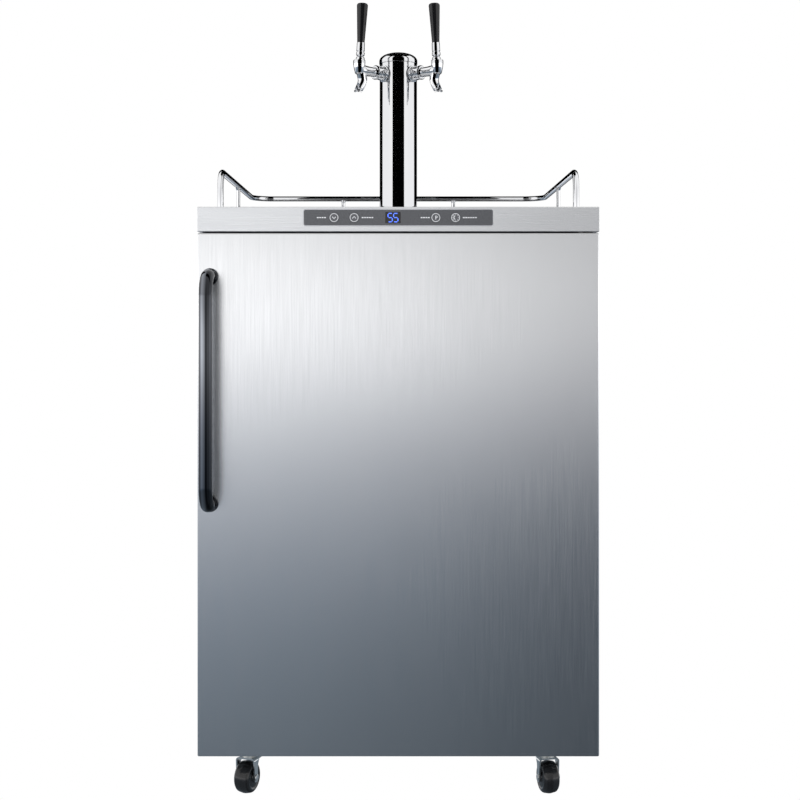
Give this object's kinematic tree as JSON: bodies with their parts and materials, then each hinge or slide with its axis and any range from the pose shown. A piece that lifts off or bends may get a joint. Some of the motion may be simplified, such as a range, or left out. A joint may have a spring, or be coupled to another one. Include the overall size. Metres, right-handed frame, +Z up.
{
  "type": "kegerator",
  "caption": "Free-standing beer dispenser: insulated cabinet with a hinged door over a keg bay, a two-tap tower, a guard rail on deck, and swivel casters.",
  "frame": {"origin": "on the floor, under the middle of the whole object's footprint", "axes": "+X to the right seen from the front, -Y out of the door's face, +Z up"},
  "size_m": [0.6, 0.6916, 1.2582],
  "materials": {
    "door_steel": "satin",
    "deck_steel": "satin",
    "chrome": "polished",
    "dark_chrome": "polished",
    "zinc": "satin",
    "black_paint": "satin",
    "insulation": "matte",
    "white_liner": "satin",
    "gasket": "matte",
    "panel": "satin",
    "button": "satin",
    "gloss_black": "gloss",
    "caster_tread": "gloss",
    "black_plastic": "matte",
    "black_enamel": "satin",
    "aluminium": "satin",
    "brass": "satin",
    "floor_plate": "matte"
  },
  "bodies": {
    "cabinet": {"top_deck": "deck_steel", "drip_tray": "deck_steel", "drip_grille": "deck_steel", "tower_column": "chrome", "tower_cap": "chrome", "guard_rail": "chrome", "left_shank": "chrome", "left_coupling_nut": "chrome", "left_faucet_body": "chrome", "right_shank": "chrome", "right_coupling_nut": "chrome", "right_faucet_body": "chrome", "base_pan": "zinc", "rear_panel": "zinc", "rear_cover": "zinc", "hinge_top": "zinc", "hinge_bottom": "zinc", "front_left_caster_plate": "zinc", "front_right_caster_plate": "zinc", "rear_left_caster_plate": "zinc", "rear_right_caster_plate": "zinc", "cabinet_wrap": "black_paint", "cabinet_foam": "insulation", "inner_liner": "white_liner", "control_panel": "panel", "control_housing": "black_plastic", "fan_housing": "black_plastic", "compressor": "black_enamel", "condenser": "black_enamel", "evaporator_plate": "aluminium", "co2_cylinder": "aluminium", "cylinder_valve": "brass", "regulator": "brass", "keg_floor_plate": "floor_plate"},
    "door": {"door_skin": "door_steel", "door_liner": "white_liner", "door_foam": "insulation", "door_gasket": "gasket", "door_handle": "dark_chrome"},
    "colder_button": {"colder_button": "button"},
    "warmer_button": {"warmer_button": "button"},
    "units_button": {"units_button": "button"},
    "deep_chill_button": {"deep_chill_button": "button"},
    "left_tap": {"left_tap_lever": "chrome", "left_tap_knob": "gloss_black"},
    "left_shaft": {"left_faucet_shaft": "brass"},
    "right_tap": {"right_tap_lever": "chrome", "right_tap_knob": "gloss_black"},
    "right_shaft": {"right_faucet_shaft": "brass"},
    "front_left_swivel": {"front_left_caster_fork": "zinc"},
    "front_left_wheel": {"front_left_caster_wheel": "caster_tread"},
    "front_right_swivel": {"front_right_caster_fork": "zinc"},
    "front_right_wheel": {"front_right_caster_wheel": "caster_tread"},
    "rear_left_swivel": {"rear_left_caster_fork": "zinc"},
    "rear_left_wheel": {"rear_left_caster_wheel": "caster_tread"},
    "rear_right_swivel": {"rear_right_caster_fork": "zinc"},
    "rear_right_wheel": {"rear_right_caster_wheel": "caster_tread"},
    "fan_rotor": {"fan_blade": "black_plastic"},
    "handwheel": {"valve_handwheel": "black_plastic"},
    "gas_knob": {"regulator_knob": "black_plastic"}
  },
  "joints": [
    {"name": "door_hinge", "type": "hinge", "parent": "cabinet", "child": "door", "pos_m": [0.284, -0.248, 0.468], "axis": [0, 0, 1], "range_deg": [0, 105]},
    {"name": "colder_press", "type": "slide", "parent": "cabinet", "child": "colder_button", "axis": [0, 1, 0], "range_m": [0, 0.0008], "stiffness_N_per_m": 300, "springref_m": -0.0005},
    {"name": "warmer_press", "type": "slide", "parent": "cabinet", "child": "warmer_button", "axis": [0, 1, 0], "range_m": [0, 0.0008], "stiffness_N_per_m": 300, "springref_m": -0.0005},
    {"name": "units_press", "type": "slide", "parent": "cabinet", "child": "units_button", "axis": [0, 1, 0], "range_m": [0, 0.0008], "stiffness_N_per_m": 300, "springref_m": -0.0005},
    {"name": "deep_chill_press", "type": "slide", "parent": "cabinet", "child": "deep_chill_button", "axis": [0, 1, 0], "range_m": [0, 0.0008], "stiffness_N_per_m": 300, "springref_m": -0.0005},
    {"name": "left_tap_lever", "type": "hinge", "parent": "cabinet", "child": "left_tap", "pos_m": [-0.06358, -0.03735, 1.1635], "axis": [0.6428, -0.766, 0], "range_deg": [0, 40]},
    {"name": "left_shaft_slide", "type": "slide", "parent": "cabinet", "child": "left_shaft", "axis": [0.766, 0.6428, 0], "range_m": [0, 0.0043]},
    {"name": "right_tap_lever", "type": "hinge", "parent": "cabinet", "child": "right_tap", "pos_m": [0.06358, -0.03735, 1.1635], "axis": [0.6428, 0.766, 0], "range_deg": [0, 40]},
    {"name": "right_shaft_slide", "type": "slide", "parent": "cabinet", "child": "right_shaft", "axis": [-0.766, 0.6428, 0], "range_m": [0, 0.0043]},
    {"name": "front_left_swivel", "type": "hinge", "parent": "cabinet", "child": "front_left_swivel", "pos_m": [-0.2275, -0.199, 0.06], "axis": [0, 0, 1], "continuous": true},
    {"name": "front_left_roll", "type": "hinge", "parent": "front_left_swivel", "child": "front_left_wheel", "pos_m": [-0.23323, -0.21394, 0.025], "axis": [-0.9336, 0.3584, 0], "continuous": true},
    {"name": "front_right_swivel", "type": "hinge", "parent": "cabinet", "child": "front_right_swivel", "pos_m": [0.2275, -0.199, 0.06], "axis": [0, 0, 1], "continuous": true},
    {"name": "front_right_roll", "type": "hinge", "parent": "front_right_swivel", "child": "front_right_wheel", "pos_m": [0.23083, -0.21465, 0.025], "axis": [-0.9781, -0.2079, 0], "continuous": true},
    {"name": "rear_left_swivel", "type": "hinge", "parent": "cabinet", "child": "rear_left_swivel", "pos_m": [-0.2275, 0.262, 0.06], "axis": [0, 0, 1], "continuous": true},
    {"name": "rear_left_roll", "type": "hinge", "parent": "rear_left_swivel", "child": "rear_left_wheel", "pos_m": [-0.2275, 0.246, 0.025], "axis": [-1, 0, 0], "continuous": true},
    {"name": "rear_right_swivel", "type": "hinge", "parent": "cabinet", "child": "rear_right_swivel", "pos_m": [0.2275, 0.262, 0.06], "axis": [0, 0, 1], "continuous": true},
    {"name": "rear_right_roll", "type": "hinge", "parent": "rear_right_swivel", "child": "rear_right_wheel", "pos_m": [0.2275, 0.246, 0.025], "axis": [-1, 0, 0], "continuous": true},
    {"name": "fan_spin", "type": "hinge", "parent": "cabinet", "child": "fan_rotor", "pos_m": [0.09, 0.24, 0.745], "axis": [0, 1, 0], "continuous": true},
    {"name": "valve_turn", "type": "hinge", "parent": "cabinet", "child": "handwheel", "pos_m": [-0.195, 0.2165, 0.709], "axis": [0, 0, 1], "range_deg": [0, 300]},
    {"name": "regulator_turn", "type": "hinge", "parent": "cabinet", "child": "gas_knob", "pos_m": [-0.135, 0.19, 0.6786], "axis": [0, 1, 0], "range_deg": [0, 300]}
  ],
  "couplings": [
    {"joint": "left_shaft_slide", "follows": "left_tap_lever", "m_per_rad": 0.006},
    {"joint": "right_shaft_slide", "follows": "right_tap_lever", "m_per_rad": 0.006}
  ]
}
